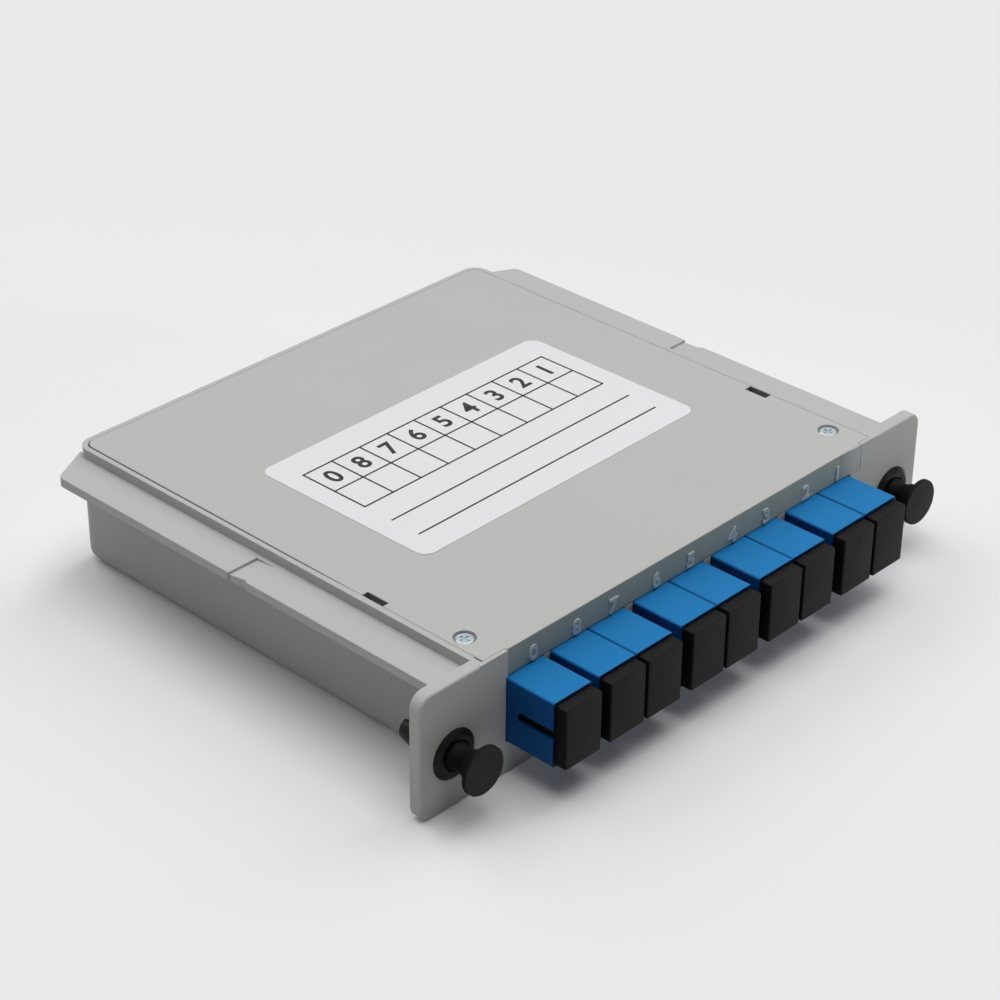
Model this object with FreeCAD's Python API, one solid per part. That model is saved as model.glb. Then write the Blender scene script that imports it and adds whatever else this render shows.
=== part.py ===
import FreeCAD, Part
import math
import os

# Plug-in 1 x 8 fibre splitter cassette: a moulded tray with a front panel and
# two side rails, a flush cover, nine single SC adapters with dust caps, two
# push-pull latches, and the splitter module with its connectors inside.
# X runs along the front panel, Y from the panel to the rear wall, Z up.
# The origin is the centre of the cassette's footprint, on its underside.

os.makedirs("parts", exist_ok=True)
V = FreeCAD.Vector

# ---- cassette body -------------------------------------------------------
PANEL_H = 24.0
PANEL_T = 2.4
PANEL_EDGE = 0.4
EAR_W = 13.5
EAR_R = 2.6
DEPTH = 101.0
WALL_T = 2.0
FLOOR_T = 2.0
CORNER_R = 3.2
BOTTOM_R = 3.0

# ---- side rails ----------------------------------------------------------
RAIL_W = 7.5
RAIL_T = 1.7
RAIL_DROP = 1.9
RAIL_END = 4.6
RAIL_END_R = 1.5
NOTCH_Y = 46.8
NOTCH_LEN = 4.6
NOTCH_DROP = 0.45
NOTCH_BITE = 0.5
NOTCH_RETURN = 0.9
NOTCH_LAND = 1.0

# ---- cover ---------------------------------------------------------------
COVER_T = 1.8
COVER_GAP = 0.05
COVER_GAP_LEFT = 0.35
RIM_T = 1.0
BROW_T = 0.8
LIP_LEFT = 6.4
LIP_RIGHT = 4.3
LIP_END = 1.0
LIP_T = 1.85
LIP_BACK = 0.35
LIP_GAP = 0.1
SLOT_Y = 23.4
SLOT_L = 4.9
SLOT_W = 1.7
HOOK_GAP = 0.25
HOOK_DOWN = 6.0
HOOK_LEAN = 2.0
HOOK_RISE = 0.4
HOOK_EDGE = 0.3

# ---- cover screws --------------------------------------------------------
SCREW_INSET = 4.2
SCREW_Y = 7.6
SCREW_R = 1.1
SCREW_L = 9.0
SCREW_FIT = 0.05
HEAD_R = 1.75
HEAD_T = 0.75
HEAD_EDGE = 0.3
HEAD_GAP = 0.2
HEAD_SINK = 0.2
BOSS_R = 2.9
BOSS_GAP = 0.15
CROSS_L = 1.9
CROSS_W = 0.45
CROSS_DEEP = 0.45

# ---- cover label ---------------------------------------------------------
LABEL_W = 71.0
LABEL_D = 41.0
LABEL_T = 0.12
LABEL_R = 2.4
LABEL_X = 0.6
LABEL_Y = 49.8
LABEL_TURN = 0.5

# ---- adapters ------------------------------------------------------------
PORT_W = 9.1
PORT_H = 12.5
PORT_Z = 12.5
PORT_L = 27.4
PORT_OUT = 10.2
PORT_EDGE = 0.3
PAIRS = 4
PAIR_SEAM = 0.05
PAIR_GAP = 2.1
COMMON_GAP = 1.525
ROW_LEFT = 6.05
ROW_RIGHT = 7.025
BAY_W = 7.45
BAY_H = 9.05
KEY_W = 1.9
KEY_L = 7.8
COLLAR_T = 1.5
COLLAR_H = 0.9
WINDOW_GAP = 0.1
WEB_T = 0.9
WEB_EDGE = 0.7

# ---- sleeve holder, sleeve, inner plug -----------------------------------
SLEEVE_R = 1.6
SLEEVE_BORE = 1.26
SLEEVE_L = 11.4
SLEEVE_SPLIT = 0.5
HOLDER_R = 2.2
HOLDER_GAP = 0.05
HOLDER_LIP = 0.3
HOLDER_PLATE = 1.6
ARM_W = 3.2
ARM_T = 0.8
ARM_OUT = 4.2
ARM_HOOK = 0.4
FERRULE_R = 1.249
FERRULE_L = 12.0
FERRULE_FIT = 0.02
FERRULE_SETBACK = 0.1
PLUG_L = 24.0
PLUG_GAP = 0.1
PLUG_SETBACK = 0.2
PLUG_WALL = 0.9
PLUG_EDGE = 0.4
PLUG_NOSE = 8.0
BOOT_L = 17.0
BOOT_R = 2.9
BOOT_TIP_R = 1.6
BOOT_COLLAR = 5.0
FIBRE_R = 0.45
FIBRE_GAP = 0.05

# ---- dust caps -----------------------------------------------------------
CAP_SIDE = 0.35
CAP_END = 0.5
CAP_T = 2.6
CAP_R = 0.4
CAP_FACE_EDGE = 0.2
CAP_PLUG_L = 7.0
CAP_PLUG_GAP = 0.15
CAP_PLUG_SUNK = 0.5
CAP_WALL = 0.9

# ---- latches -------------------------------------------------------------
LATCH_INSET = 7.4
LATCH_Z = 10.3
FLANGE_R = 4.6
FLANGE_T = 0.9
FLANGE_EDGE = 0.2
FLANGE_SLOPE = 0.9
BARREL_R = 3.3
BARREL_FIT = 0.1
LEG_R = 2.5
LEG_END = 10.4
LEG_NOSE_R = 1.9
LEG_NOSE = 2.4
LEG_SPLIT = 0.8
LEG_ROOT = 1.6
KNOB_R = 4.4
KNOB_Y = 6.9
KNOB_EDGE = 0.8
KNOB_DOME = 0.35
KNOB_CLEAR = 0.2
FLARE_STEPS = 3
WAIST_R = 2.6
WAIST_FIT = 0.08
SHAFT_R = 1.4
SHAFT_FIT = 0.06
SHAFT_END = 7.0
LATCH_TRAVEL = 2.8

# ---- splitter module and fibre guides ------------------------------------
MODULE_L = 60.0
MODULE_W = 7.0
MODULE_H = 4.0
MODULE_WALL = 0.4
MODULE_BACK = 11.0
MODULE_LIFT = 1.0
MODULE_BOOT = 5.0
MODULE_FLANGE = 1.0
MODULE_FIT = 0.02
CHIP_GAP = 0.2
CLIP_T = 1.2
CLIP_GAP = 0.1
CLIP_H = 3.0
CLIP_X = 20.0
GUIDE_R = 14.0
GUIDE_T = 1.2
GUIDE_H = 7.0
GUIDE_X = 24.0
GUIDE_AHEAD = 22.0
GUIDE_GAP = 5.0
TAB_L = 3.0
TAB_T = 1.0
RIB_T = 1.5
RIB_REAR = 13.0
FINGER_H = 9.0
FINGER_GAP = 0.2

# ---- working values ------------------------------------------------------
OVER = 1.0
NEAR = 0.01
PAIR_W = 2 * PORT_W + PAIR_SEAM
ROW_W = PORT_W + COMMON_GAP + PAIRS * PAIR_W + (PAIRS - 1) * PAIR_GAP
HALF_TUB = (ROW_LEFT + ROW_W + ROW_RIGHT) / 2
HALF_PANEL = HALF_TUB + EAR_W
FRONT = -DEPTH / 2
REAR = DEPTH / 2
INNER = HALF_TUB - WALL_T
SEAT_HALF = HALF_TUB - RIM_T
ROOT_Z = FLOOR_T / 2
COVER_Z = PANEL_H - COVER_T
RAIL_TOP = PANEL_H - RAIL_DROP
RAIL_OUT = HALF_TUB + RAIL_W
LIP_X0 = -HALF_TUB + LIP_LEFT
LIP_X1 = HALF_TUB - LIP_RIGHT
SCREW_X = HALF_TUB - SCREW_INSET
RECESS_R = HEAD_R + HEAD_GAP
RECESS_DEEP = HEAD_T + HEAD_SINK
LATCH_X = HALF_PANEL - LATCH_INSET
COMMON_X = -HALF_TUB + ROW_LEFT + PORT_W / 2
FIRST_PAIR_X = COMMON_X + PORT_W / 2 + COMMON_GAP + PAIR_W / 2
CAP_W = PORT_W - 2 * CAP_SIDE
CAP_H = PORT_H - 2 * CAP_END
MODULE_Y = DEPTH - MODULE_BACK
GUIDE_Y = MODULE_Y - GUIDE_AHEAD
PORT_TOP = PORT_Z + PORT_H / 2
PORT_BASE = PORT_Z - PORT_H / 2
RIB_TOP = PORT_BASE - FINGER_GAP / 4
COLLAR_Y = PANEL_T + FINGER_GAP / 2
RIB_FRONT = COLLAR_Y + COLLAR_T + FINGER_GAP / 2
PORT_MID = PORT_L / 2 - PORT_OUT
PLATE_Y = PORT_MID - HOLDER_PLATE / 2
WEB_Y = PLATE_Y + HOLDER_PLATE + HOLDER_GAP
PLUG_Y = WEB_Y + WEB_T + PLUG_SETBACK
FERRULE_Y = PORT_MID + FERRULE_SETBACK
BOOT_Y = PLUG_Y + PLUG_L
PORT_NAMES = ["common", "8", "7", "6", "5", "4", "3", "2", "1"]


def pair_middles():
    """X of the middle of each pair of adapters, from left to right."""
    return [FIRST_PAIR_X + pair * (PAIR_W + PAIR_GAP) for pair in range(PAIRS)]


def port_centres():
    """X of each adapter, from the common port on the left to port 1."""
    half = (PORT_W + PAIR_SEAM) / 2
    return [COMMON_X] + [x + side * half for x in pair_middles() for side in (-1, 1)]


def box(x0, x1, y0, y1, z0, z1):
    """A block between two corners; y is counted from the panel's front face."""
    return Part.makeBox(x1 - x0, y1 - y0, z1 - z0, V(x0, FRONT + y0, z0))


def upright(radius, height, x, y, z=0.0):
    return Part.makeCylinder(radius, height, V(x, FRONT + y, z))


def lying(radius, length, x, y, z=PORT_Z):
    """A cylinder along Y; y is counted from the panel's front face."""
    return Part.makeCylinder(radius, length, V(x, FRONT + y, z), V(0, 1, 0))


def fuse(shapes):
    first, rest = shapes[0], shapes[1:]
    return first.fuse(rest).removeSplitter() if rest else first


def mirrored(shape):
    return shape.mirror(V(0, 0, 0), V(1, 0, 0))


def fillet_where(shape, radius, wanted):
    edges = [edge for edge in shape.Edges if wanted(edge)]
    return shape.makeFillet(radius, edges)


def chamfer_where(shape, size, wanted):
    edges = [edge for edge in shape.Edges if wanted(edge)]
    return shape.makeChamfer(size, edges)


def runs_along(edge, axis):
    """True for a straight edge parallel to the axis named by its index."""
    if edge.Curve.TypeId != "Part::GeomLine":
        return False
    step = edge.Vertexes[-1].Point - edge.Vertexes[0].Point
    return all(abs(step[i]) < 1e-6 for i in range(3) if i != axis)


def along(axis):
    return lambda edge: runs_along(edge, axis)


def prism(points, step):
    """A closed polygon pushed along a vector."""
    wire = Part.makePolygon(points + points[:1])
    return Part.Face(wire).extrude(step)


def turned(profile, x, z):
    """A closed profile of (radius, y) points turned about an axis along Y."""
    points = [V(x + r, FRONT + y, z) for r, y in profile]
    face = Part.Face(Part.makePolygon(points + points[:1]))
    return face.revolve(V(x, FRONT, z), V(0, 1, 0), 360)


# ---- tray ----------------------------------------------------------------
def panel_plate():
    """The front panel with its two ears; the outer front edges are eased."""
    plate = box(-HALF_PANEL, HALF_PANEL, 0, PANEL_T, 0, PANEL_H)
    plate = fillet_where(plate, EAR_R, along(1))
    return fillet_where(plate, PANEL_EDGE, lambda e: e.BoundBox.YMax < FRONT + NEAR)


def tub_block():
    block = box(-HALF_TUB, HALF_TUB, 0, DEPTH, 0, PANEL_H)
    block = fillet_where(block, CORNER_R,
                         lambda e: runs_along(e, 2) and e.CenterOfMass.y > 0)

    def under(edge):
        at = edge.BoundBox
        return at.ZMax < NEAR and at.YMax > FRONT + NEAR

    return fillet_where(block, BOTTOM_R, under)


def rail():
    """The left rail: a flat runner with a cut-back rear end and a catch notch."""
    out = -RAIL_OUT
    under = RAIL_TOP - RAIL_T
    inner = -HALF_TUB + WALL_T / 2
    outline = [V(inner, FRONT + PANEL_T / 2, under),
               V(out, FRONT + PANEL_T / 2, under),
               V(out, REAR - RAIL_END, under),
               V(-SEAT_HALF, REAR - WALL_T / 20, under),
               V(inner, REAR - CORNER_R, under)]
    runner = prism(outline, V(0, 0, RAIL_T))
    runner = fillet_where(runner, RAIL_END_R,
                          lambda e: runs_along(e, 2)
                          and e.CenterOfMass.x < out + NEAR and e.CenterOfMass.y > 0)
    step = FRONT + NOTCH_Y + NOTCH_LEN
    start = FRONT + NOTCH_Y
    ramp = prism([V(out - OVER, step, RAIL_TOP + NEAR),
                  V(out - OVER, step, RAIL_TOP - NOTCH_DROP),
                  V(out - OVER, start, RAIL_TOP + NEAR)],
                 V(RAIL_W + OVER - NOTCH_LAND, 0, 0))
    bite = prism([V(out - OVER, step, 0),
                  V(out + NOTCH_BITE / 3, step, 0),
                  V(out + NOTCH_BITE, start + NOTCH_RETURN, 0),
                  V(out, start, 0),
                  V(out - OVER, start, 0)],
                 V(0, 0, PANEL_H))
    return runner.cut(ramp).cut(bite)


def tray_hollow():
    deep = box(-INNER, INNER, PANEL_T, DEPTH - WALL_T, FLOOR_T, PANEL_H + OVER)
    deep = fillet_where(deep, CORNER_R - WALL_T,
                        lambda e: runs_along(e, 2) and e.CenterOfMass.y > 0)
    seat = box(-SEAT_HALF, SEAT_HALF, BROW_T, DEPTH - RIM_T, COVER_Z, PANEL_H + OVER)
    seat = fillet_where(seat, CORNER_R - RIM_T,
                        lambda e: runs_along(e, 2) and e.CenterOfMass.y > 0)
    return deep.fuse(seat)


def port_windows():
    """An opening for the common adapter, each pair and the lip; the posts stand back."""
    spans = [(COMMON_X, PORT_W / 2)] + [(x, PAIR_W / 2) for x in pair_middles()]
    cuts = [box(x - half - WINDOW_GAP, x + half + WINDOW_GAP, -OVER, PANEL_T + OVER,
                RIB_TOP, PORT_TOP + WINDOW_GAP) for x, half in spans]
    first, last = spans[0][0] - spans[0][1], spans[-1][0] + spans[-1][1]
    cuts.append(box(first, last, -OVER, LIP_BACK, RIB_TOP, PORT_TOP + WINDOW_GAP))
    cuts.append(box(LIP_X0 - LIP_GAP, LIP_X1 + LIP_GAP, -OVER, PANEL_T + OVER,
                    PORT_TOP + LIP_GAP / 2, PANEL_H + OVER))
    return cuts


def cradle():
    """Two cross ribs that carry the adapters, with a finger in every gap."""
    centres = port_centres()
    left = centres[0] - PORT_W / 2
    right = centres[-1] + PORT_W / 2
    pieces = []
    for y in (RIB_FRONT, RIB_REAR):
        pieces.append(box(left - RIB_T, right + RIB_T, y, y + RIB_T, ROOT_Z, RIB_TOP))
        gaps = [(left - RIB_T, left), (right, right + RIB_T)]
        for group in range(PAIRS):
            lower = centres[2 * group] + PORT_W / 2
            gaps.append((lower, centres[2 * group + 1] - PORT_W / 2))
        for x0, x1 in gaps:
            pieces.append(box(x0 + FINGER_GAP, x1 - FINGER_GAP, y, y + RIB_T,
                              ROOT_Z, RIB_TOP + FINGER_H))
    return pieces


def screw_boss():
    """A post joined to the side wall, flattened where the common adapter passes."""
    post = upright(BOSS_R, COVER_Z - ROOT_Z, SCREW_X, SCREW_Y, ROOT_Z)
    flat = PORT_W / 2 - COMMON_X + BOSS_GAP
    post = post.common(box(flat, HALF_TUB, 0, DEPTH, 0, PANEL_H))
    web = box(SCREW_X, INNER + WALL_T / 2, SCREW_Y - RIB_T / 2, SCREW_Y + RIB_T / 2,
              ROOT_Z, COVER_Z)
    return post.fuse(web)


def cover_hook():
    """A tongue on the side wall that stands up into the cover's slot."""
    y = FRONT + SLOT_Y + HOOK_GAP
    low = COVER_Z - HOOK_DOWN
    tip = COVER_Z + HOOK_RISE
    root = INNER + HOOK_GAP
    inner = SEAT_HALF - SLOT_W + HOOK_GAP
    section = [V(root, y, low),
               V(inner, y, low + HOOK_LEAN),
               V(inner, y, tip - HOOK_EDGE),
               V(inner + HOOK_EDGE, y, tip),
               V(root, y, tip)]
    return prism(section, V(0, SLOT_L - 2 * HOOK_GAP, 0))


def module_cradle():
    """Two saddles with a wall on each side of the splitter module."""
    pieces = []
    seat = FLOOR_T + MODULE_LIFT
    half = MODULE_W / 2 + CLIP_GAP
    for x in (-CLIP_X, CLIP_X):
        x0, x1 = x - CLIP_T, x + CLIP_T
        pieces.append(box(x0, x1, MODULE_Y - half, MODULE_Y + half, ROOT_Z, seat))
        for y in (MODULE_Y - half - CLIP_T, MODULE_Y + half):
            pieces.append(box(x0, x1, y, y + CLIP_T, ROOT_Z, seat + CLIP_H))
    return pieces


def fibre_guide(x):
    """A curved wall in two halves, with tabs that keep the fibre loop down."""
    top = FLOOR_T + GUIDE_H
    ring = upright(GUIDE_R, top - ROOT_Z, x, GUIDE_Y, ROOT_Z)
    ring = ring.cut(upright(GUIDE_R - GUIDE_T, top, x, GUIDE_Y, ROOT_Z))
    reach = GUIDE_R + TAB_L
    ring = ring.cut(box(x - reach, x + reach, GUIDE_Y - GUIDE_GAP, GUIDE_Y + GUIDE_GAP,
                        0, PANEL_H))
    length = TAB_L + GUIDE_T
    tabs = [box(x - TAB_L, x + TAB_L, y, y + length, top - TAB_T, top)
            for y in (GUIDE_Y - reach, GUIDE_Y + reach - length)]
    return [ring] + tabs


def latch_holes():
    hole = lying(BARREL_R + BARREL_FIT, PANEL_T + 2 * OVER, LATCH_X, -OVER, LATCH_Z)
    return [hole, mirrored(hole)]


def base_tray():
    shell = panel_plate().fuse([tub_block(), rail(), mirrored(rail())])
    shell = shell.cut([tray_hollow()] + port_windows() + latch_holes())
    inside = cradle() + module_cradle()
    inside += fibre_guide(-GUIDE_X) + fibre_guide(GUIDE_X)
    inside += [screw_boss(), mirrored(screw_boss())]
    inside += [cover_hook(), mirrored(cover_hook())]
    tray = shell.fuse(inside)
    for x in (-SCREW_X, SCREW_X):
        tray = tray.cut(upright(SCREW_R + SCREW_FIT, SCREW_L, x, SCREW_Y, COVER_Z - SCREW_L))
    return tray.removeSplitter()


# ---- cover ---------------------------------------------------------------
def top_cover():
    """A flat plate pushed to the right in its seat, with the strip that fronts it."""
    plate = box(-SEAT_HALF + COVER_GAP_LEFT, SEAT_HALF - COVER_GAP,
                BROW_T + COVER_GAP, DEPTH - RIM_T - COVER_GAP, COVER_Z, PANEL_H)
    plate = fillet_where(plate, CORNER_R - RIM_T - COVER_GAP,
                         lambda e: runs_along(e, 2) and e.CenterOfMass.y > 0)
    back = LIP_BACK + LIP_T
    strip = box(LIP_X0, LIP_X1, LIP_BACK, back, PORT_TOP + LIP_GAP, PANEL_H)
    end = box(LIP_X1 - LIP_END, LIP_X1, 0, back, PORT_TOP + LIP_GAP, PANEL_H)
    cover = plate.fuse([strip, end])
    for x in (-SCREW_X, SCREW_X):
        cover = cover.cut(upright(SCREW_R + 2 * SCREW_FIT, PANEL_H, x, SCREW_Y))
        cover = cover.cut(upright(RECESS_R, PANEL_H, x, SCREW_Y, PANEL_H - RECESS_DEEP))
    slot = box(SEAT_HALF - SLOT_W, SEAT_HALF, SLOT_Y, SLOT_Y + SLOT_L, 0, PANEL_H + OVER)
    return cover.cut([slot, mirrored(slot)]).removeSplitter()


def cover_screws():
    """Two flat-topped screws with a cross recess, seated in the cover's counterbores."""
    seat = PANEL_H - RECESS_DEEP
    screws = []
    for x in (-SCREW_X, SCREW_X):
        head = upright(HEAD_R, HEAD_T, x, SCREW_Y, seat)
        head = chamfer_where(head, HEAD_EDGE, lambda e: e.BoundBox.ZMin > seat + HEAD_T - NEAR)
        shank = upright(SCREW_R, SCREW_L, x, SCREW_Y, seat - SCREW_L)
        top = seat + HEAD_T
        cross = [box(x - wide / 2, x + wide / 2, SCREW_Y - long / 2, SCREW_Y + long / 2,
                     top - CROSS_DEEP, top + OVER)
                 for wide, long in ((CROSS_L, CROSS_W), (CROSS_W, CROSS_L))]
        screws.append(fuse([head, shank]).cut(cross))
    return Part.makeCompound(screws)


def cover_label():
    """A paper label stuck on slightly askew."""
    label = box(LABEL_X - LABEL_W / 2, LABEL_X + LABEL_W / 2,
                LABEL_Y - LABEL_D / 2, LABEL_Y + LABEL_D / 2, PANEL_H, PANEL_H + LABEL_T)
    label = fillet_where(label, LABEL_R, along(2))
    label.rotate(V(LABEL_X, FRONT + LABEL_Y, PANEL_H), V(0, 0, 1), LABEL_TURN)
    return label


# ---- adapters ------------------------------------------------------------
def adapter_housing(x):
    """One SC adapter on its edge, open at both ends, keyed on its left side."""
    back = PORT_L - PORT_OUT
    body = box(x - PORT_W / 2, x + PORT_W / 2, -PORT_OUT, back, PORT_BASE, PORT_TOP)
    body = chamfer_where(body, PORT_EDGE, along(1))
    collar = box(x - PORT_W / 2, x + PORT_W / 2, COLLAR_Y, COLLAR_Y + COLLAR_T,
                 PORT_BASE - COLLAR_H, PORT_TOP + COLLAR_H)
    bay = box(x - BAY_W / 2, x + BAY_W / 2, -PORT_OUT - OVER, back + OVER,
              PORT_Z - BAY_H / 2, PORT_Z + BAY_H / 2)
    web = box(x - PORT_W / 2, x + PORT_W / 2, WEB_Y, WEB_Y + WEB_T,
              PORT_Z - PORT_H / 2, PORT_Z + PORT_H / 2)
    web = web.common(body)
    web = web.cut(box(x - BAY_W / 2 + WEB_EDGE, x + BAY_W / 2 - WEB_EDGE, WEB_Y, WEB_Y + WEB_T,
                      PORT_Z - BAY_H / 2 + WEB_EDGE, PORT_Z + BAY_H / 2 - WEB_EDGE))
    keys = [key_slot(x, -PORT_OUT - OVER, -PORT_OUT + KEY_L, -PORT_OUT + KEY_L),
            key_slot(x, back - KEY_L, back + OVER, back - KEY_L)]
    return body.fuse(collar).cut([bay] + keys).fuse(web).removeSplitter()


def key_slot(x, y0, y1, end):
    """The slot for a plug's key, through the adapter's left side, with a round end."""
    slot = box(x - PORT_W, x, y0, y1, PORT_Z - KEY_W / 2, PORT_Z + KEY_W / 2)
    return fillet_where(slot, KEY_W / 2 - NEAR,
                        lambda e: runs_along(e, 0) and abs(e.CenterOfMass.y - FRONT - end) < NEAR)


def sleeve_holder(x):
    """The holder inside one adapter: a tube on a plate, with latch arms."""
    half = SLEEVE_L / 2 + HOLDER_LIP
    tube = lying(HOLDER_R, 2 * half, x, PORT_MID - half)
    gap = HOLDER_GAP
    plate = box(x - BAY_W / 2 + gap, x + BAY_W / 2 - gap, PLATE_Y, PLATE_Y + HOLDER_PLATE,
                PORT_Z - BAY_H / 2 + gap, PORT_Z + BAY_H / 2 - gap)
    arms = []
    y = PLATE_Y - ARM_OUT
    for side in (-1, 1):
        z = PORT_Z + side * (BAY_H / 2 - gap)
        for end, depth in ((PLATE_Y, ARM_T), (y + ARM_T, ARM_T + ARM_HOOK)):
            low, high = sorted((z, z - side * depth))
            arms.append(box(x - ARM_W / 2, x + ARM_W / 2, y, end, low, high))
    bore = lying(SLEEVE_R + gap, 2 * half, x, PORT_MID - half)
    return fuse([tube, plate] + arms).cut(bore)


def split_sleeve(x):
    start = PORT_MID - SLEEVE_L / 2
    tube = lying(SLEEVE_R, SLEEVE_L, x, start)
    bore = lying(SLEEVE_BORE, SLEEVE_L, x, start)
    split = box(x - SLEEVE_SPLIT / 2, x + SLEEVE_SPLIT / 2, start, start + SLEEVE_L,
                PORT_Z, PORT_Z + 2 * SLEEVE_R)
    return tube.cut([bore, split])


def ferrule(x):
    return lying(FERRULE_R, FERRULE_L, x, FERRULE_Y)


def inner_plug(x):
    """The SC plug that the splitter's fibre ends in, pushed into the adapter."""
    half_w = BAY_W / 2 - PLUG_GAP
    half_h = BAY_H / 2 - PLUG_GAP
    body = box(x - half_w, x + half_w, PLUG_Y, PLUG_Y + PLUG_L, PORT_Z - half_h, PORT_Z + half_h)
    body = chamfer_where(body, PLUG_EDGE, along(1))
    key_y = PORT_L - PORT_OUT - KEY_L + KEY_W / 2
    key_half = KEY_W / 2 - PLUG_GAP
    key = box(x - PORT_W / 2 + PLUG_GAP, x, key_y, PORT_L - PORT_OUT,
              PORT_Z - key_half, PORT_Z + key_half)
    nose = box(x - half_w + PLUG_WALL, x + half_w - PLUG_WALL, PLUG_Y, PLUG_Y + PLUG_NOSE,
               PORT_Z - half_h + PLUG_WALL, PORT_Z + half_h - PLUG_WALL)
    seat = lying(FERRULE_R + FERRULE_FIT, FERRULE_L, x, FERRULE_Y)
    duct = lying(FIBRE_R + FIBRE_GAP, PLUG_L, x, PLUG_Y)
    return body.fuse(key).cut([nose, seat, duct]).removeSplitter()


def strain_boot(x):
    """A boot behind the plug: a short collar, then a taper down to the fibre."""
    bore = FIBRE_R + FIBRE_GAP
    profile = [(bore, BOOT_Y),
               (BOOT_R, BOOT_Y),
               (BOOT_R, BOOT_Y + BOOT_COLLAR),
               (BOOT_TIP_R, BOOT_Y + BOOT_L),
               (bore, BOOT_Y + BOOT_L)]
    return turned(profile, x, PORT_Z)


# ---- dust caps -----------------------------------------------------------
def dust_cap(x):
    """A moulded cap: a soft-edged head and a hollow plug that enters the port."""
    front = -PORT_OUT - CAP_T
    head = box(x - CAP_W / 2, x + CAP_W / 2, front, -PORT_OUT,
               PORT_Z - CAP_H / 2, PORT_Z + CAP_H / 2)
    head = fillet_where(head, CAP_R, along(1))
    head = chamfer_where(head, CAP_FACE_EDGE,
                         lambda e: e.BoundBox.YMax < FRONT + front + NEAR)
    root, tip = -PORT_OUT - CAP_PLUG_SUNK, -PORT_OUT + CAP_PLUG_L
    half_w = BAY_W / 2 - CAP_PLUG_GAP
    half_h = BAY_H / 2 - CAP_PLUG_GAP
    plug = box(x - half_w, x + half_w, root, tip, PORT_Z - half_h, PORT_Z + half_h)
    half_w, half_h = half_w - CAP_WALL, half_h - CAP_WALL
    hollow = box(x - half_w, x + half_w, root, tip, PORT_Z - half_h, PORT_Z + half_h)
    return head.fuse(plug).cut(hollow).removeSplitter()


# ---- latches -------------------------------------------------------------
def latch_grommet(x):
    """A nylon grommet: sloped flange, barrel in the panel, split legs behind it."""
    deep = LATCH_TRAVEL - FLANGE_T / 2
    bore = SHAFT_R + SHAFT_FIT
    mouth = WAIST_R + WAIST_FIT
    profile = [(mouth, -FLANGE_T),
               (FLANGE_R - FLANGE_SLOPE, -FLANGE_T),
               (FLANGE_R, -FLANGE_EDGE),
               (FLANGE_R, 0),
               (BARREL_R, 0),
               (BARREL_R, PANEL_T),
               (LEG_R, PANEL_T),
               (LEG_R, LEG_END - LEG_NOSE),
               (LEG_NOSE_R, LEG_END),
               (bore, LEG_END),
               (bore, deep),
               (mouth, deep)]
    body = turned(profile, x, LATCH_Z)
    split = box(x - LEG_SPLIT / 2, x + LEG_SPLIT / 2, PANEL_T + LEG_ROOT, LEG_END,
                LATCH_Z - BARREL_R, LATCH_Z + BARREL_R)
    return body.cut(split)


def latch_plunger(x):
    """A mushroom knob on a waisted stem, with the shaft that spreads the legs.

    The flare ends where it still clears the grommet with the knob pushed in.
    """
    back = -KNOB_Y + KNOB_EDGE
    seat = -FLANGE_T / 2
    flare = -FLANGE_T - KNOB_CLEAR - LATCH_TRAVEL - back
    profile = [(0, -KNOB_Y - KNOB_DOME),
               (KNOB_R / 2, -KNOB_Y - KNOB_DOME),
               (KNOB_R, -KNOB_Y),
               (KNOB_R, back)]
    for turn in range(1, FLARE_STEPS + 1):
        angle = math.pi / 2 * turn / FLARE_STEPS
        radius = KNOB_R - (KNOB_R - WAIST_R) * math.sin(angle)
        profile.append((radius, back + flare * (1 - math.cos(angle))))
    profile += [(WAIST_R, seat),
                (SHAFT_R, seat),
                (SHAFT_R, SHAFT_END),
                (0, SHAFT_END)]
    return turned(profile, x, LATCH_Z)


# ---- splitter module -----------------------------------------------------
def module_place():
    z = FLOOR_T + MODULE_LIFT
    return (-MODULE_L / 2, MODULE_L / 2, MODULE_Y - MODULE_W / 2, MODULE_Y + MODULE_W / 2,
            z, z + MODULE_H)


def module_sleeve():
    x0, x1, y0, y1, z0, z1 = module_place()
    tube = box(x0, x1, y0, y1, z0, z1)
    tube = fillet_where(tube, 2 * MODULE_WALL, along(0))
    w = MODULE_WALL
    return tube.cut(box(x0, x1, y0 + w, y1 - w, z0 + w, z1 - w))


def splitter_chip():
    """The waveguide chip and its fibre blocks: one bar on the tube's floor."""
    x0, x1, y0, y1, z0, z1 = module_place()
    end = MODULE_BOOT + CHIP_GAP
    side = 2 * MODULE_WALL
    return box(x0 + end, x1 - end, y0 + side, y1 - side, z0 + MODULE_WALL, z1 - side)


def module_boot(side):
    """A rubber end plug with a flange that covers the tube's edge."""
    x0, x1, y0, y1, z0, z1 = module_place()
    w = MODULE_WALL + MODULE_FIT
    end = x1 if side > 0 else x0
    low, high = sorted((end, end - side * MODULE_BOOT))
    inner = box(low, high, y0 + w, y1 - w, z0 + w, z1 - w)
    low, high = sorted((end, end + side * MODULE_FLANGE))
    flange = box(low, high, y0, y1, z0, z1)
    return inner.fuse(flange).removeSplitter()


def save(name, shape):
    shape.exportStep("parts/" + name + ".step")


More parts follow.
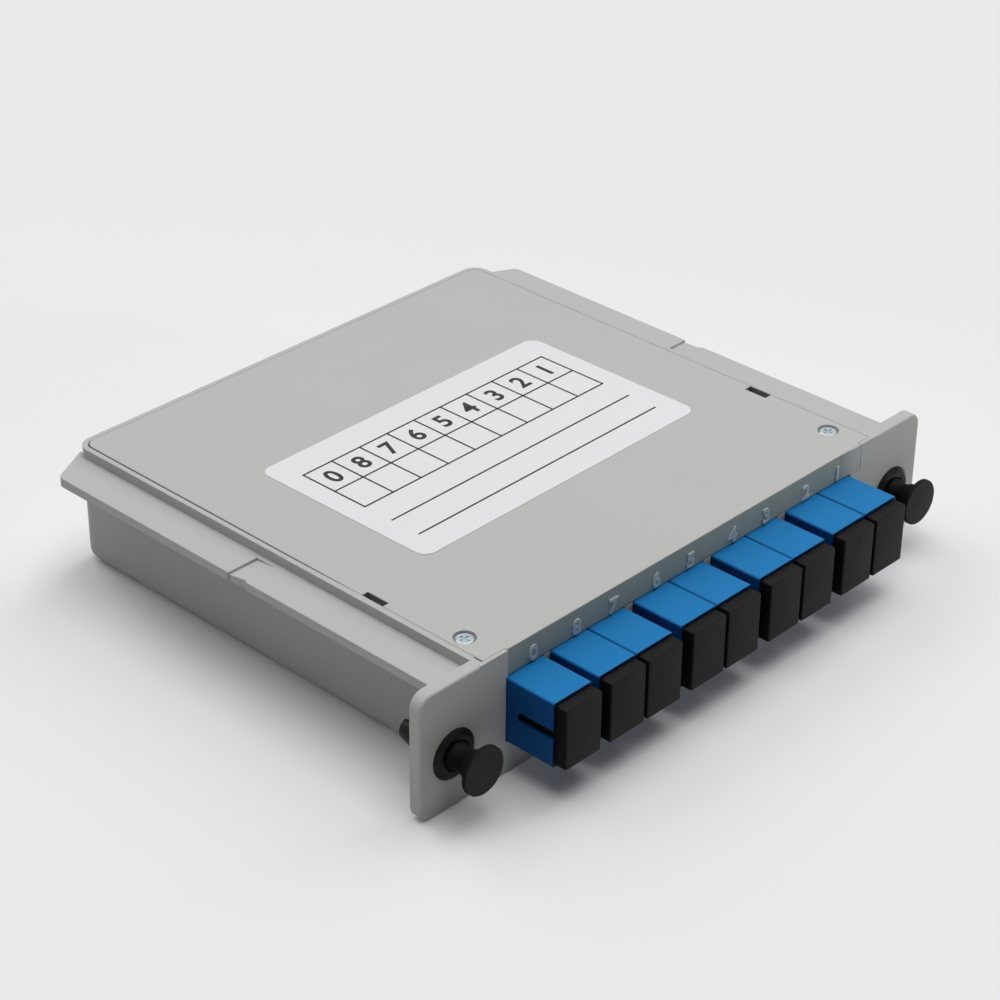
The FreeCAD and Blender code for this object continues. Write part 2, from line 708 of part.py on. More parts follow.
centres = port_centres()
save("base_tray", base_tray())
save("top_cover", top_cover())
save("cover_screws", cover_screws())
save("cover_label", cover_label())
for name, x in zip(PORT_NAMES, centres):
    save("adapter_" + name, adapter_housing(x))
    save("dust_cap_" + name, dust_cap(x))
    save("inner_plug_" + name, inner_plug(x))
save("sleeve_holders", Part.makeCompound([sleeve_holder(x) for x in centres]))
save("ceramic_sleeves", Part.makeCompound([split_sleeve(x) for x in centres]))
save("ferrules", Part.makeCompound([ferrule(x) for x in centres]))
save("strain_boots", Part.makeCompound([strain_boot(x) for x in centres]))
save("latch_grommet_left", latch_grommet(-LATCH_X))
save("latch_grommet_right", latch_grommet(LATCH_X))
save("latch_plunger_left", latch_plunger(-LATCH_X))
save("latch_plunger_right", latch_plunger(LATCH_X))
save("module_sleeve", module_sleeve())
save("splitter_chip", splitter_chip())
save("module_boots", Part.makeCompound([module_boot(-1), module_boot(1)]))
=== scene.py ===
import math

import bmesh
import bpy
from mathutils import Matrix, Vector


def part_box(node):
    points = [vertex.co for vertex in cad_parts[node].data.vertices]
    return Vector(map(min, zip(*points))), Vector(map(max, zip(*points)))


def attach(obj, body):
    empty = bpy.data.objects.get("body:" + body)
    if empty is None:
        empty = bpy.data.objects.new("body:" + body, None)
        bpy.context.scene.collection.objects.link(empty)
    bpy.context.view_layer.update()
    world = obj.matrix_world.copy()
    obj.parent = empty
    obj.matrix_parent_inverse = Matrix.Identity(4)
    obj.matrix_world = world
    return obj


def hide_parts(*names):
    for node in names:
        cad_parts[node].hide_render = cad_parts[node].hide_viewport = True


# The looks of a plug-in fibre splitter cassette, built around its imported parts.
# Everything is in metres, in the cassette's own frame: X along the front panel,
# Y from the panel to the rear wall, Z up.

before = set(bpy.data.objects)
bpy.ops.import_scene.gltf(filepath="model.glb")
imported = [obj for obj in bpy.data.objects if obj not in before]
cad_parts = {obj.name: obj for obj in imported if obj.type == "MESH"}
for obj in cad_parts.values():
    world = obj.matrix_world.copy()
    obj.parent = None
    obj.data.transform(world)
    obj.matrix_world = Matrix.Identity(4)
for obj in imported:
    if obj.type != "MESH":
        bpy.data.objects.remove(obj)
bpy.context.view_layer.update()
MM = 0.001
PORTS = ["common", "8", "7", "6", "5", "4", "3", "2", "1"]
TRAVEL = 2.8 * MM        # of a latch knob when it is pushed in
LIP_BACK = 0.35 * MM     # how far the lip's face stands behind the cover's front end
COLLAR_RISE = 0.9 * MM   # how far an adapter's collar stands above its front part


# ---- camera --------------------------------------------------------------
def camera():
    """Looks down on the cassette's left front corner."""
    turn = math.radians(-46.673)
    lift = math.radians(30.838)
    roll = math.radians(0.57)
    back = Vector((math.sin(turn) * math.cos(lift),
                   -math.cos(turn) * math.cos(lift),
                   math.sin(lift)))
    level = Vector((0, 0, 1)).cross(back).normalized()
    upright = back.cross(level)
    right = math.cos(roll) * level + math.sin(roll) * upright
    up = -math.sin(roll) * level + math.cos(roll) * upright
    eye = Vector((-306.17, -294.54, 265.12)) * MM
    data = bpy.data.cameras.new("camera")
    data.sensor_width = 36.0
    data.lens = 97.63
    data.clip_start = 0.01
    data.clip_end = 20.0
    item = bpy.data.objects.new("camera", data)
    bpy.context.scene.collection.objects.link(item)
    place = Matrix((right, up, back)).transposed().to_4x4()
    place.translation = eye
    item.matrix_world = place
    bpy.context.scene.camera = item


# ---- shader expressions --------------------------------------------------
class Field:
    """A shader socket that takes part in Python arithmetic."""

    def __init__(self, paint, socket):
        self.paint = paint
        self.socket = socket

    def math(self, operation, *others, clamp=False):
        made = self.paint.add("ShaderNodeMath", {"operation": operation, "use_clamp": clamp},
                              dict(enumerate((self,) + others)))
        return Field(self.paint, made.outputs[0])

    def __add__(self, other):
        return self.math("ADD", other)

    def __mul__(self, other):
        return self.math("MULTIPLY", other)

    def __sub__(self, other):
        return self.math("SUBTRACT", other)

    def __rsub__(self, other):
        return Field(self.paint, self.paint.add(
            "ShaderNodeMath", {"operation": "SUBTRACT"}, {0: other, 1: self}).outputs[0])

    __radd__ = __add__
    __rmul__ = __mul__

    def above(self, edge, soft):
        """0 below the edge, 1 above it, with a soft change."""
        return ((self - (edge - soft / 2)) * (1 / soft)).math("ADD", 0.0, clamp=True)

    def below(self, edge, soft):
        return 1.0 - self.above(edge, soft)


class Paint:
    """One material: a Principled shader and the nodes that feed it."""

    def __init__(self, name, **fixed):
        self.material = bpy.data.materials.new(name)
        self.material.use_nodes = True
        self.tree = self.material.node_tree
        self.tree.nodes.clear()
        self.shader = self.add("ShaderNodeBsdfPrincipled", {}, {})
        out = self.add("ShaderNodeOutputMaterial", {}, {})
        self.tree.links.new(self.shader.outputs[0], out.inputs["Surface"])
        for socket, value in fixed.items():
            self.set(socket.replace("_", " "), value)

    def add(self, kind, settings, values):
        """One node: its settings first, then the values or links of its sockets."""
        node = self.tree.nodes.new(kind)
        for name, value in settings.items():
            setattr(node, name, value)
        for key, value in values.items():
            if isinstance(value, Field):
                self.tree.links.new(value.socket, node.inputs[key])
            else:
                node.inputs[key].default_value = value
        return node

    def field(self, kind, settings, values, output=0):
        return Field(self, self.add(kind, settings, values).outputs[output])

    def set(self, name, value):
        """Feeds or fixes one socket of the shader."""
        if isinstance(value, Field):
            self.tree.links.new(value.socket, self.shader.inputs[name])
        elif isinstance(value, tuple) and len(value) == 3:
            self.shader.inputs[name].default_value = value + (1.0,)
        else:
            self.shader.inputs[name].default_value = value

    def place(self):
        return self.field("ShaderNodeTexCoord", {}, {}, "Object")

    def axes(self):
        """X, Y and Z in the cassette's frame."""
        made = self.add("ShaderNodeSeparateXYZ", {}, {0: self.place()})
        return [Field(self, made.outputs[i]) for i in range(3)]

    def facing(self):
        """X, Y and Z of the way that the surface faces."""
        made = self.add("ShaderNodeSeparateXYZ", {},
                        {0: self.field("ShaderNodeNewGeometry", {}, {}, "Normal")})
        return [Field(self, made.outputs[i]) for i in range(3)]

    def noise(self, scale, detail=2.0, rough=0.5):
        return self.field("ShaderNodeTexNoise", {},
                          {"Vector": self.place(), "Scale": scale, "Detail": detail,
                           "Roughness": rough}, "Fac")

    def mix(self, share, first, second):
        """A colour between two, by a share from 0 to 1."""
        made = self.add("ShaderNodeMix", {"data_type": "RGBA"}, {0: share})
        for index, colour in ((6, first), (7, second)):
            if isinstance(colour, Field):
                self.tree.links.new(colour.socket, made.inputs[index])
            else:
                made.inputs[index].default_value = tuple(colour) + (1.0,)
        return Field(self, made.outputs[2])

    def relief(self, height, depth, edge=0.0):
        """Bump from a height field, over edges softened to a small radius."""
        values = {"Height": height, "Distance": depth, "Strength": 1.0}
        if edge:
            values["Normal"] = self.field("ShaderNodeBevel", {"samples": 6}, {"Radius": edge})
        self.set("Normal", self.field("ShaderNodeBump", {}, values))


# ---- materials -----------------------------------------------------------
GREY = (0.500, 0.502, 0.486)
GREY_DULL = (0.476, 0.478, 0.463)
LIP_GREY = (0.345, 0.37, 0.32)
SLOT_SHADE = (0.22, 0.22, 0.205)
FIGURE_GREY = (0.53, 0.56, 0.545)
BLUE = (0.014, 0.199, 0.482)
BLUE_DEEP = (0.012, 0.175, 0.449)
BLUE_SIDE_SHADE = (0.003, 0.070, 0.250)
BLUE_MOUTH_SHADE = (0.001, 0.022, 0.080)
BLACK = (0.026, 0.026, 0.025)
ZINC_DULL = (0.58, 0.70, 0.76)
ZINC = (0.86, 0.93, 0.96)
RECESS_SHADE_TEAL = (0.05, 0.20, 0.27)
PAPER = (0.765, 0.76, 0.785)
INK = (0.012, 0.012, 0.014)
INK_WORN = (0.034, 0.034, 0.038)


def moulded_grey(name, slots, lip=None):
    """Spark-textured ABS; painted shade in the catch slots, cooler on the lip's face."""
    paint = Paint(name, IOR=1.46, Specular_IOR_Level=0.35)
    cloud = paint.noise(55.0, 3.0)
    colour = paint.mix(cloud, GREY_DULL, GREY)
    x, y, z = paint.axes()
    crisp = 0.05 * MM
    # Painted shade: inside each slot's outline the grey turns dark, at any height below the
    # slot's top.
    for low, high in slots:
        slot_shade = (x.above(low.x, crisp) * x.below(high.x, crisp)
                  * y.above(low.y, crisp) * y.below(high.y, crisp) * z.below(high.z, crisp))
        colour = paint.mix(slot_shade, colour, SLOT_SHADE)
    if lip is not None:
        face = (y.above(lip - 0.2 * MM, 0.3 * MM) * y.below(lip + 0.1 * MM, 0.1 * MM)
                * z.below(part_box("top_cover")[1].z - 0.1 * MM, 0.1 * MM))
        colour = paint.mix(face, colour, LIP_GREY)
    paint.set("Base Color", colour)
    grain = paint.noise(2600.0, 2.0, 0.6)
    paint.set("Roughness", 0.46 + 0.14 * grain)
    paint.relief(grain + 0.5 * paint.noise(900.0), 0.012 * MM, 0.32 * MM)
    return paint.material


def satin_blue(name, top):
    """Smooth blue moulding with faint flow marks; the top keeps its blue, and every face below
    it is painted shade, darkest at the mouth.
    """
    paint = Paint(name, IOR=1.5, Specular_IOR_Level=0.12)
    flow = paint.noise(160.0, 3.0)
    lid = paint.axes()[2].above(top - 0.15 * MM, 0.12 * MM)
    # Painted shade: faces below the top take a darker blue, and faces towards the front darker
    # still.
    forward = paint.facing()[1] * -1.0
    wall = paint.mix(forward.above(0.6, 0.4), BLUE_SIDE_SHADE, BLUE_MOUTH_SHADE)
    paint.set("Base Color", paint.mix(lid, wall, paint.mix(flow, BLUE_DEEP, BLUE)))
    paint.set("Roughness", 0.40 + 0.12 * paint.noise(700.0))
    paint.relief(paint.noise(1500.0, 2.0), 0.006 * MM, 0.08 * MM)
    return paint.material


def soft_black(name, rough=0.5, gloss=0.12, front=1.0, flank=1.0, top=1.0):
    """Black plastic or rubber, a little cloudy; each way of facing gets its own level of
    painted light and shade.
    """
    paint = Paint(name, IOR=1.45, Specular_IOR_Level=gloss)
    flow = paint.noise(260.0, 3.0)
    y, z = paint.facing()[1:]

    def shade(level):
        return paint.mix(flow, tuple(0.8 * level * c for c in BLACK),
                         tuple(1.2 * level * c for c in BLACK))

    # Painted light and shade: faces towards the front, the flanks and the tops each take their
    # own level of the black.
    colour = paint.mix((y * -1.0).above(0.6, 0.4), shade(flank), shade(front))
    paint.set("Base Color", paint.mix(z.above(0.6, 0.4), colour, shade(top)))
    paint.set("Roughness", rough + 0.12 * paint.noise(900.0))
    paint.relief(paint.noise(1300.0, 2.0), 0.01 * MM, 0.08 * MM)
    return paint.material


def zinc(name, top):
    """Bright zinc with a bluish pass; the cross recess is painted a dark teal, a bluish tint
    with painted shade.
    """
    paint = Paint(name, Metallic=1.0)
    # Painted shade: everything more than a little below the head's top takes the dark teal.
    recess = paint.axes()[2].below(top - 0.12 * MM, 0.08 * MM)
    plate = paint.mix(paint.noise(1800.0, 2.0), ZINC_DULL, ZINC)
    paint.set("Base Color", paint.mix(recess, plate, RECESS_SHADE_TEAL))
    paint.set("Roughness", 0.26 + 0.2 * paint.noise(2500.0))
    paint.relief(paint.noise(3500.0), 0.01 * MM, 0.06 * MM)
    return paint.material


def paper(name):
    """Coated label stock."""
    paint = Paint(name, IOR=1.45)
    fibres = paint.noise(1400.0, 3.0)
    paint.set("Base Color", paint.mix(fibres, PAPER, tuple(1.03 * c for c in PAPER)))
    paint.set("Roughness", 0.42 + 0.1 * fibres)
    paint.relief(fibres, 0.004 * MM)
    return paint.material


def ink(name):
    """Thermal print, a little uneven."""
    paint = Paint(name, IOR=1.4)
    paint.set("Base Color", paint.mix(paint.noise(2500.0), INK, INK_WORN))
    paint.set("Roughness", 0.5 + 0.1 * paint.noise(2000.0))
    return paint.material


def plain(name, colour, rough, metal=0.0):
    """Inner pieces: a little cloudiness and a fine grain."""
    paint = Paint(name, Metallic=metal)
    dark = tuple(0.9 * c for c in colour)
    paint.set("Base Color", paint.mix(paint.noise(300.0), dark, colour))
    paint.set("Roughness", rough + 0.1 * paint.noise(900.0))
    paint.relief(paint.noise(1500.0), 0.008 * MM)
    return paint.material


# ---- mesh helpers --------------------------------------------------------
def piece(name, bm, material, body):
    """A finished mesh that rides on a body; edges over the crease angle stay sharp."""
    crease = math.radians(35.0)
    bmesh.ops.recalc_face_normals(bm, faces=bm.faces)
    mesh = bpy.data.meshes.new(name)
    bm.to_mesh(mesh)
    bm.free()
    for face in mesh.polygons:
        face.use_smooth = True
    mesh.set_sharp_from_angle(angle=crease)
    mesh.materials.append(material)
    item = bpy.data.objects.new(name, mesh)
    bpy.context.scene.collection.objects.link(item)
    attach(item, body)
    return item


def block(low, high):
    """A bmesh box between two corners."""
    bm = bmesh.new()
    bmesh.ops.create_cube(bm, size=1.0)
    size = Vector(high) - Vector(low)
    middle = (Vector(high) + Vector(low)) / 2
    bmesh.ops.scale(bm, vec=size, verts=bm.verts)
    bmesh.ops.translate(bm, vec=middle, verts=bm.verts)
    return bm


def soften(bm, edges, width):
    """Rounds edges."""
    bmesh.ops.bevel(bm, geom=edges, offset=width, offset_type="OFFSET", segments=3,
                    profile=0.5, affect="EDGES", clamp_overlap=True, material=-1)


def lathe(bm, profile, x, z, start=0.0, sweep=360.0, steps=64):
    """Turns a (radius, y) profile about an axis along Y.

    A profile that ends on the axis stays open there; any other is closed to a loop.
    """
    verts = [bm.verts.new((x + r, y, z)) for r, y in profile]
    edges = [bm.edges.new(pair) for pair in zip(verts, verts[1:])]
    if profile[0][0] > 0.0:
        edges.append(bm.edges.new((verts[-1], verts[0])))
    faces = []
    if sweep < 360.0:
        bmesh.ops.rotate(bm, verts=verts, cent=(x, 0, z),
                         matrix=Matrix.Rotation(math.radians(start), 3, "Y"))
        faces = [bm.faces.new(verts)]
    bmesh.ops.spin(bm, geom=verts + edges + faces, cent=(x, 0, z), axis=(0, 1, 0),
                   angle=math.radians(sweep), steps=steps, use_merge=sweep == 360.0)
    bmesh.ops.remove_doubles(bm, verts=bm.verts, dist=0.001 * MM)
    return bm


# ---- dust caps -----------------------------------------------------------
def dust_cap(name, material):
    """Soft-edged head, and the hollow plug that enters the port."""
    wall = 0.9 * MM      # of the plug
    side = 0.625 * MM    # from the head's flank in to the plug
    rise = 1.375 * MM    # from the head's top down to the plug
    edge = 0.33 * MM     # rounding of the head
    near = 0.01 * MM
    low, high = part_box("dust_cap_" + name)
    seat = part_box("adapter_" + name)[0].y
    middle = (low + high) / 2
    bm = block(low, (high.x, seat, high.z))
    back = max(bm.faces, key=lambda f: f.calc_center_median().y)
    bmesh.ops.inset_individual(bm, faces=[back], thickness=side)
    bmesh.ops.scale(bm, vec=(1, 1, (high.z - low.z - 2 * rise) / (high.z - low.z - 2 * side)),
                    space=Matrix.Translation(-middle), verts=back.verts)
    grown = bmesh.ops.extrude_discrete_faces(bm, faces=[back])["faces"][0]
    bmesh.ops.translate(bm, vec=(0, high.y - seat, 0), verts=grown.verts)
    bmesh.ops.inset_individual(bm, faces=[grown], thickness=wall)
    floor = bmesh.ops.extrude_discrete_faces(bm, faces=[grown])["faces"][0]
    bmesh.ops.translate(bm, vec=(0, seat - high.y, 0), verts=floor.verts)
    half = (high.x - low.x) / 2
    head = [e for e in bm.edges
            if e.calc_length() > 1.5 * MM and all(v.co.y < seat + near for v in e.verts)
            and all(abs(v.co.x - middle.x) > half - near for v in e.verts)
            or all(v.co.y < low.y + near for v in e.verts)]
    soften(bm, head, edge)
    item = piece("cap_" + name, bm, material, "cap_" + name)
    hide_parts("dust_cap_" + name)


# ---- latches -------------------------------------------------------------
def arc(centre, radius, start, stop, steps):
    """Points of a circle in the (radius, y) plane."""
    turns = [math.radians(start + (stop - start) * i / steps) for i in range(steps + 1)]
    return [(centre[0] + radius * math.cos(t), centre[1] + radius * math.sin(t)) for t in turns]


def latch_knob(side, material):
    """A domed mushroom knob that flares from a waisted stem."""
    dome = 0.35 * MM     # height of the domed face
    rim = 0.8 * MM       # thickness of the knob's rim
    soft = 0.25 * MM     # rounding of the rim
    root = 2.6 * MM      # stem radius in the grommet's mouth
    waist = 2.1 * MM     # stem radius where it is thinnest
    shaft = 1.4 * MM     # radius of the shaft between the legs
    tip = 0.3 * MM       # chamfer at the shaft's end
    low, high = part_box("latch_plunger_" + side)
    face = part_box("latch_grommet_" + side)[0].y
    x = (low.x + high.x) / 2
    z = (low.z + high.z) / 2
    knob = (high.x - low.x) / 2
    back = low.y + dome + rim
    seat = face + 0.4 * MM
    flare = face - back - TRAVEL - 0.2 * MM
    neck = back + flare
    profile = [(0.0, low.y), (0.5 * knob, low.y + 0.22 * dome)]
    profile += arc((knob - soft, low.y + dome + soft), soft, -95, 0, 5)
    profile += [(knob, back)]
    for i in range(1, 9):
        turn = math.pi / 2 * i / 8
        profile.append((knob - (knob - root) * math.sin(turn),
                        back + flare * (1 - math.cos(turn))))
    profile += [(root - 0.33 * MM, neck + 0.5 * MM), (waist, neck + 1.3 * MM),
                (waist + 0.15 * MM, neck + 2.2 * MM), (root - 0.1 * MM, face - 0.1 * MM),
                (root, seat), (shaft, seat), (shaft, high.y - tip), (shaft - tip, high.y),
                (0.0, high.y)]
    item = piece("latch_knob_" + side, lathe(bmesh.new(), profile, x, z), material,
                 "plunger_" + side)
    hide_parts("latch_plunger_" + side)


def latch_ring(side, material):
    """The grommet: a sloped flange on a barrel, and two sprung legs behind the panel."""
    flange = 0.9 * MM    # thickness
    panel = 2.4 * MM     # thickness of the panel that the barrel fills
    mouth = 2.68 * MM    # radius that takes the knob's stem
    bore = 1.46 * MM     # radius that takes the shaft
    barrel = 3.3 * MM    # outer radius in the panel
    leg_out = 2.5 * MM   # outer radius of the legs
    leg_tip = 1.9 * MM   # the same at their ends
    nose = 2.4 * MM      # length of the legs' tapered ends
    soft = 0.15 * MM     # rounding of the mouth
    low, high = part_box("latch_grommet_" + side)
    x = (low.x + high.x) / 2
    z = (low.z + high.z) / 2
    rim = (high.x - low.x) / 2
    face = low.y
    seat = face + flange
    step = seat + 2.35 * MM
    root = seat + 4.0 * MM
    profile = [(mouth, step), (mouth, face + soft)]
    profile += arc((mouth + soft, face + soft), soft, 180, 270, 3)
    profile += [(rim - 0.9 * MM, face), (rim - 0.15 * MM, seat - 0.35 * MM),
                (rim, seat - 0.2 * MM), (rim, seat), (barrel, seat), (barrel, seat + panel),
                (leg_out, seat + panel), (leg_out, root), (bore, root), (bore, step)]
    bm = lathe(bmesh.new(), profile, x, z)
    leg = [(bore, root), (leg_out, root), (leg_out, high.y - nose), (leg_tip, high.y),
           (bore, high.y)]
    for start in (-78.5, 101.5):
        lathe(bm, leg, x, z, start, 157.0, 24)
    item = piece("latch_ring_" + side, bm, material, "cassette")
    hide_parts("latch_grommet_" + side)


# ---- cover seam and screws -----------------------------------------------
def seam_ledge(material):
    """The ledge in the gap beside the cover, which rises until the gap closes at the front."""
    wide, deep = 0.35 * MM, 2.0 * MM
    front, turn, rear = -48.0 * MM, -20.0 * MM, 44.0 * MM
    shut = 0.04 * MM     # below the cover's top, from the front to the turn
    fall = 1.4 * MM      # from the turn to the rear
    low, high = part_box("top_cover")
    bm = block((low.x - wide, front, high.z - deep), (low.x, rear, high.z - shut))
    bmesh.ops.bisect_plane(bm, geom=bm.verts[:] + bm.edges[:] + bm.faces[:],
                           plane_co=(0, turn, 0), plane_no=(0, 1, 0))
    sunk = [v for v in bm.verts if v.co.y > 0 and v.co.z > high.z - deep / 2]
    bmesh.ops.translate(bm, vec=(0, 0, -fall), verts=sunk)
    piece("seam_ledge", bm, material, "cassette")


def lip_ramp(material):
    """Brings the lip's recessed face out flush at its right end."""
    start, stop = 41.5 * MM, 46.2 * MM
    sunk = 0.1 * MM      # into the lip, so that the two join
    low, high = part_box("top_cover")
    bm = block((start, low.y, low.z), (stop, low.y + LIP_BACK + sunk, high.z - 0.02 * MM))
    foot = [v for v in bm.verts if v.co.x < start + sunk and v.co.y < low.y + sunk]
    bmesh.ops.translate(bm, vec=(0, LIP_BACK, 0), verts=foot)
    piece("lip_ramp", bm, material, "cassette")


def screw_skirts(material):
    """The thin conical edge under each screw head."""
    radius = 1.75 * MM   # of the screw heads
    flare, depth, down = 0.18 * MM, 0.4 * MM, 0.42 * MM
    low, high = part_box("cover_screws")
    y = (low.y + high.y) / 2
    for side, x in (("left", low.x + radius), ("right", high.x - radius)):
        bm = bmesh.new()
        bmesh.ops.create_cone(bm, cap_ends=True, segments=48, radius1=radius + flare,
                              radius2=radius, depth=depth)
        bmesh.ops.translate(bm, vec=(x, y, high.z - down), verts=bm.verts)
        piece("screw_skirt_" + side, bm, material, "cassette")


# ---- figures and label ---------------------------------------------------
def port_number(port):
    return "0" if port == "common" else port


def figure(bm, text, height, thick, edge, place, wide):
    """Adds a number's solid to a mesh; it is drawn flat and then put in its place."""
    cap_height = 0.73    # of the letter size
    curve = bpy.data.curves.new("figure_draft", "FONT")
    curve.body = text
    curve.size = height / cap_height
    curve.align_x = "CENTER"
    curve.extrude = thick
    curve.bevel_depth = edge
    curve.bevel_resolution = 1
    curve.resolution_u = 6
    curve.offset = 0.03 * height
    draft = bpy.data.objects.new("figure_draft", curve)
    bpy.context.scene.collection.objects.link(draft)
    mesh = bpy.data.meshes.new_from_object(draft)
    bpy.data.objects.remove(draft)
    mesh.transform(place @ Matrix.Diagonal((wide, 1.0, 1.0, 1.0)))
    bm.from_mesh(mesh)
    bpy.data.meshes.remove(mesh)


def lip_figures(material):
    """Raised port numbers on the face of the cover's lip, set a little right of the ports."""
    height, thick, edge, wide = 2.75 * MM, 0.2 * MM, 0.1 * MM, 1.05
    aside, drift = 0.85 * MM, 0.025
    rise = 0.55 * MM     # above the adapters
    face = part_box("top_cover")[0].y + LIP_BACK
    for port in PORTS:
        low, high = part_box("adapter_" + port)
        text = port_number(port)
        middle = (low.x + high.x) / 2
        x = middle + aside + drift * max(0.0, -middle)
        place = (Matrix.Translation((x, face, high.z - COLLAR_RISE + rise))
                 @ Matrix.Rotation(math.pi / 2, 4, "X"))
        bm = bmesh.new()
        figure(bm, text, height, thick, edge, place, wide)
        piece("figure_" + text, bm, material, "cassette")


def bar(bm, left, right, low, high, under, top):
    """Adds a printed line to a mesh."""
    made = bmesh.ops.create_cube(bm, size=1.0)["verts"]
    bmesh.ops.scale(bm, vec=(right - left, high - low, top - under), verts=made)
    bmesh.ops.translate(bm, vec=((left + right) / 2, (low + high) / 2, (under + top) / 2),
                        verts=made)


def label_size(size_x, size_y, turn, corner):
    """Half the length and depth of a label, from the box that it fills when it is turned."""
    cos, sin = math.cos(turn), math.sin(turn)
    half_x, half_y = size_x / 2 - corner, size_y / 2 - corner
    return (corner + (cos * half_x - sin * half_y) / (cos * cos - sin * sin),
            corner + (cos * half_y - sin * half_x) / (cos * cos - sin * sin))


def label(stock, print_ink):
    """A round-cornered label with a blank port chart and two writing lines."""
    turn = math.radians(0.5)
    corner = 2.4 * MM
    proud = 0.03 * MM    # of the print, above the stock
    low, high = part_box("cover_label")
    long, deep = label_size(high.x - low.x, high.y - low.y, turn, corner)
    face = high.z - proud
    middle = (low + high) / 2
    stand = Matrix.Translation((middle.x, middle.y, 0)) @ Matrix.Rotation(turn, 4, "Z")

    bm = bmesh.new()
    corners = ((-long, -deep), (long, -deep), (long, deep), (-long, deep))
    verts = [bm.verts.new((x, y, low.z)) for x, y in corners]
    bm.faces.new(verts)
    bmesh.ops.bevel(bm, geom=verts, offset=corner, offset_type="OFFSET", segments=10,
                    profile=0.5, affect="VERTICES", clamp_overlap=True, material=-1)
    grown = bmesh.ops.extrude_face_region(bm, geom=bm.faces[:])["geom"]
    bmesh.ops.translate(bm, vec=(0, 0, face - low.z),
                        verts=[v for v in grown if isinstance(v, bmesh.types.BMVert)])
    bm.transform(stand)
    item = piece("port_label", bm, stock, "cassette")
    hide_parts("cover_label")

    thin = 0.18 * MM     # half a line's width
    cell = 6.9 * MM      # width of a cell of the chart
    foot, rule, head = -1.5 * MM, 6.0 * MM, 14.0 * MM
    lines = (-8.0 * MM, -14.5 * MM)
    number_height, number_rise, number_wide = 4.2 * MM, 2.0 * MM, 0.95
    bm = bmesh.new()
    under = face - 0.02 * MM
    left = -len(PORTS) / 2 * cell
    for i in range(len(PORTS) + 1):
        x = left + i * cell
        bar(bm, x - thin, x + thin, foot, head, under, high.z)
    for y in (foot, rule, head):
        bar(bm, left - thin, -left + thin, y - thin, y + thin, under, high.z)
    for y in lines:
        bar(bm, left, -left, y - thin, y + thin, under, high.z)
    for i, port in enumerate(PORTS):
        place = Matrix.Translation((left + (i + 0.5) * cell, rule + number_rise,
                                    (under + high.z) / 2))
        figure(bm, port_number(port), number_height, (high.z - under) / 2, 0.0, place,
               number_wide)
    bm.transform(stand)
    piece("label_print", bm, print_ink, "cassette")


# ---- floor and light -----------------------------------------------------
LAMPS = {
    # name: azimuth from +Y towards +X, elevation, strength, spread
    "overhead": (0, 90, 1.46, 50),
    "rear": (0, 40, 0.71, 40),
    "side": (90, 40, 0.75, 40),
    "rear_left": (315, 40, 0.29, 40),
    "high_side": (90, 65, 0.32, 25),
    "high_front": (180, 65, 0.14, 25),
}
SPOT_FROM = Vector((0.22, -0.36, 0.10))
SPOT_AT = Vector((0.065, -0.05, 0.014))
FLOOR_SEEN = (0.80, 0.795, 0.795)
FLOOR_LIT = (0.58, 0.58, 0.58)
WHITE = (1.0, 1.0, 1.0)


def studio():
    """A pale floor, large soft lamps and a weak spot on the panel's right end."""
    bpy.ops.mesh.primitive_plane_add(size=6.0, location=(0, 0, 0))
    floor = bpy.context.active_object
    floor.name = "floor"
    paint = Paint("studio_floor", Roughness=0.8, Specular_IOR_Level=0.2, Emission_Strength=0.04)
    seen = paint.field("ShaderNodeLightPath", {}, {}, "Is Camera Ray")
    paint.set("Base Color", paint.mix(seen, FLOOR_LIT, FLOOR_SEEN))
    paint.set("Emission Color", WHITE)
    floor.data.materials.append(paint.material)
    backdrop(0.02, 0.35)
    for name, (azimuth, elevation, strength, spread) in LAMPS.items():
        lamp(name, math.radians(azimuth), math.radians(elevation), strength, spread)
    panel_spot()


def backdrop(level, mirrored):
    """A white world, dim as a light and brighter where gloss mirrors it."""
    world = bpy.data.worlds.new("studio")
    bpy.context.scene.world = world
    world.use_nodes = True
    sky = world.node_tree.nodes["Background"]
    sky.inputs["Color"].default_value = WHITE + (1.0,)
    path = world.node_tree.nodes.new("ShaderNodeLightPath")
    glow = world.node_tree.nodes.new("ShaderNodeMath")
    glow.operation = "MULTIPLY_ADD"
    glow.inputs[1].default_value = mirrored
    glow.inputs[2].default_value = level
    world.node_tree.links.new(path.outputs["Is Glossy Ray"], glow.inputs[0])
    world.node_tree.links.new(glow.outputs[0], sky.inputs["Strength"])


def panel_spot():
    """A weak soft spot on the right end of the panel."""
    data = bpy.data.lights.new("panel_spot", "SPOT")
    data.energy = 1.7
    data.spot_size = math.radians(20.0)
    data.spot_blend = 1.0
    data.shadow_soft_size = 0.06
    spot = bpy.data.objects.new("panel_spot", data)
    bpy.context.scene.collection.objects.link(spot)
    spot.location = SPOT_FROM
    spot.rotation_euler = (SPOT_FROM - SPOT_AT).to_track_quat("Z", "Y").to_euler()


def lamp(name, azimuth, elevation, strength, spread):
    """A soft sun that shines from the given direction."""
    data = bpy.data.lights.new(name, "SUN")
    data.energy = strength
    data.angle = math.radians(spread)
    item = bpy.data.objects.new(name, data)
    bpy.context.scene.collection.objects.link(item)
    level = math.cos(elevation)
    toward = Vector((level * math.sin(azimuth), level * math.cos(azimuth), math.sin(elevation)))
    item.rotation_euler = toward.to_track_quat("Z", "Y").to_euler()


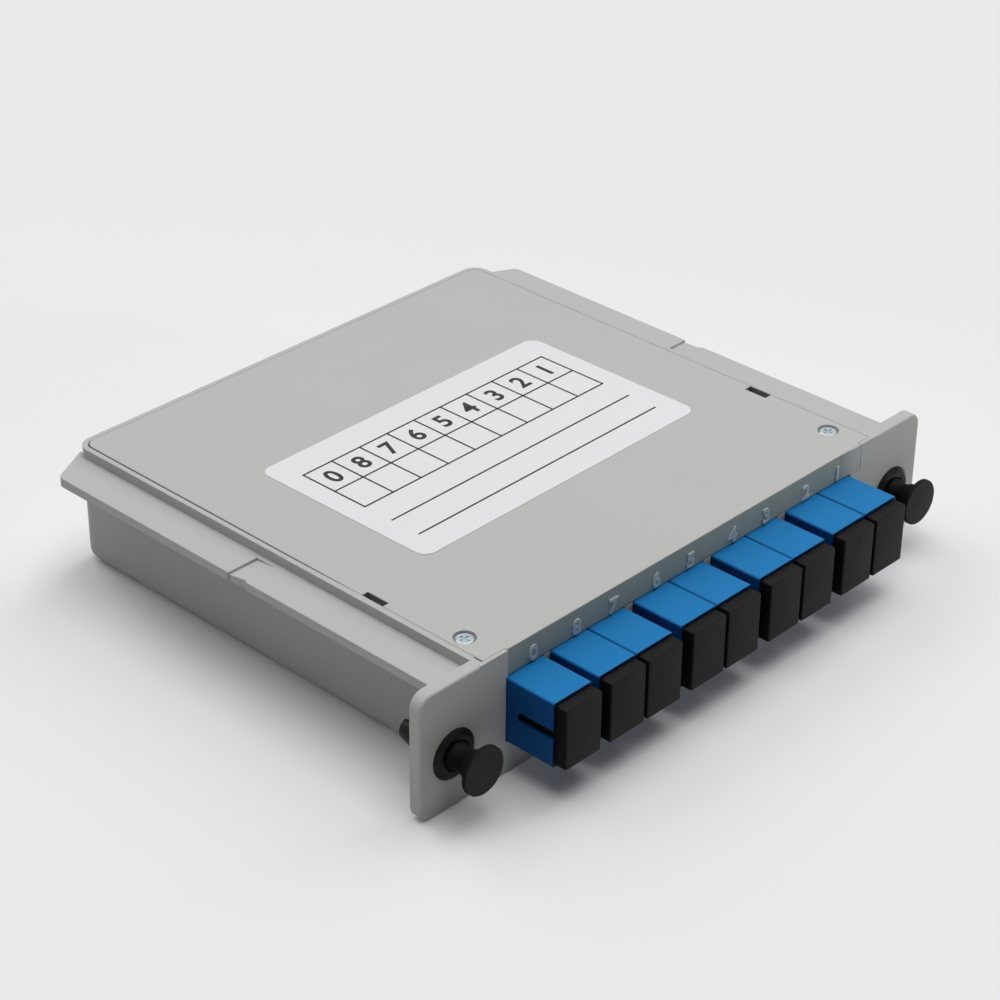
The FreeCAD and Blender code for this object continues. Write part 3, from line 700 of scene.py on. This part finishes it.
# ---- put together --------------------------------------------------------
def dress(node, material):
    """Gives a CAD node its material."""
    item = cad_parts[node]
    item.data.materials.clear()
    item.data.materials.append(material)


def catch_slots():
    """The corners of the slots over the cover's catches, where the grey gets painted shade."""
    front, rear = -27.3 * MM, -22.0 * MM
    inner, outer = 48.6 * MM, 50.7 * MM
    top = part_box("top_cover")[1].z
    return [(Vector((left, front, top - 5.0 * MM)), Vector((right, rear, top - 0.15 * MM)))
            for left, right in ((inner, outer), (-outer, -inner))]


def main():
    camera()
    slots = catch_slots()
    grey = moulded_grey("moulded_grey", slots)
    cover_grey = moulded_grey("cover_grey", slots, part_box("top_cover")[0].y + LIP_BACK)
    blue = satin_blue("satin_blue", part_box("adapter_common")[1].z - COLLAR_RISE)
    # Painted shade darkens the flanks and tops of the caps, knobs and rings; the knobs' fronts
    # are painted lighter.
    black = soft_black("soft_black", flank=0.16, top=0.30)
    knob = soft_black("knob_black", front=1.25, flank=0.22, top=0.22)
    nylon = soft_black("nylon_black", 0.32, 0.25, 0.15, 0.08, 0.08)
    rubber = soft_black("boot_rubber", 0.7)
    white = plain("holder_white", (0.72, 0.72, 0.70), 0.4)
    ceramic = plain("zirconia", (0.85, 0.84, 0.80), 0.15)
    steel = plain("drawn_steel", (0.62, 0.62, 0.62), 0.3, 1.0)
    silica = plain("ground_silica", (0.78, 0.82, 0.82), 0.35)
    dress("base_tray", grey)
    dress("top_cover", cover_grey)
    dress("cover_screws", zinc("bright_zinc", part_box("cover_screws")[1].z))
    screw_skirts(zinc("zinc_skirt", 0.0))
    seam_ledge(grey)
    lip_ramp(cover_grey)
    label(paper("label_paper"), ink("label_ink"))
    for port in PORTS:
        dress("adapter_" + port, blue)
        dress("inner_plug_" + port, blue)
        dust_cap(port, black)
    dress("sleeve_holders", white)
    dress("ceramic_sleeves", ceramic)
    dress("ferrules", ceramic)
    dress("strain_boots", rubber)
    dress("module_boots", rubber)
    dress("module_sleeve", steel)
    dress("splitter_chip", silica)
    for side in ("left", "right"):
        latch_ring(side, nylon)
        latch_knob(side, knob)
    lip_figures(plain("figure_grey", FIGURE_GREY, 0.4))
    studio()
    bpy.context.scene.view_settings.view_transform = "Standard"


main()
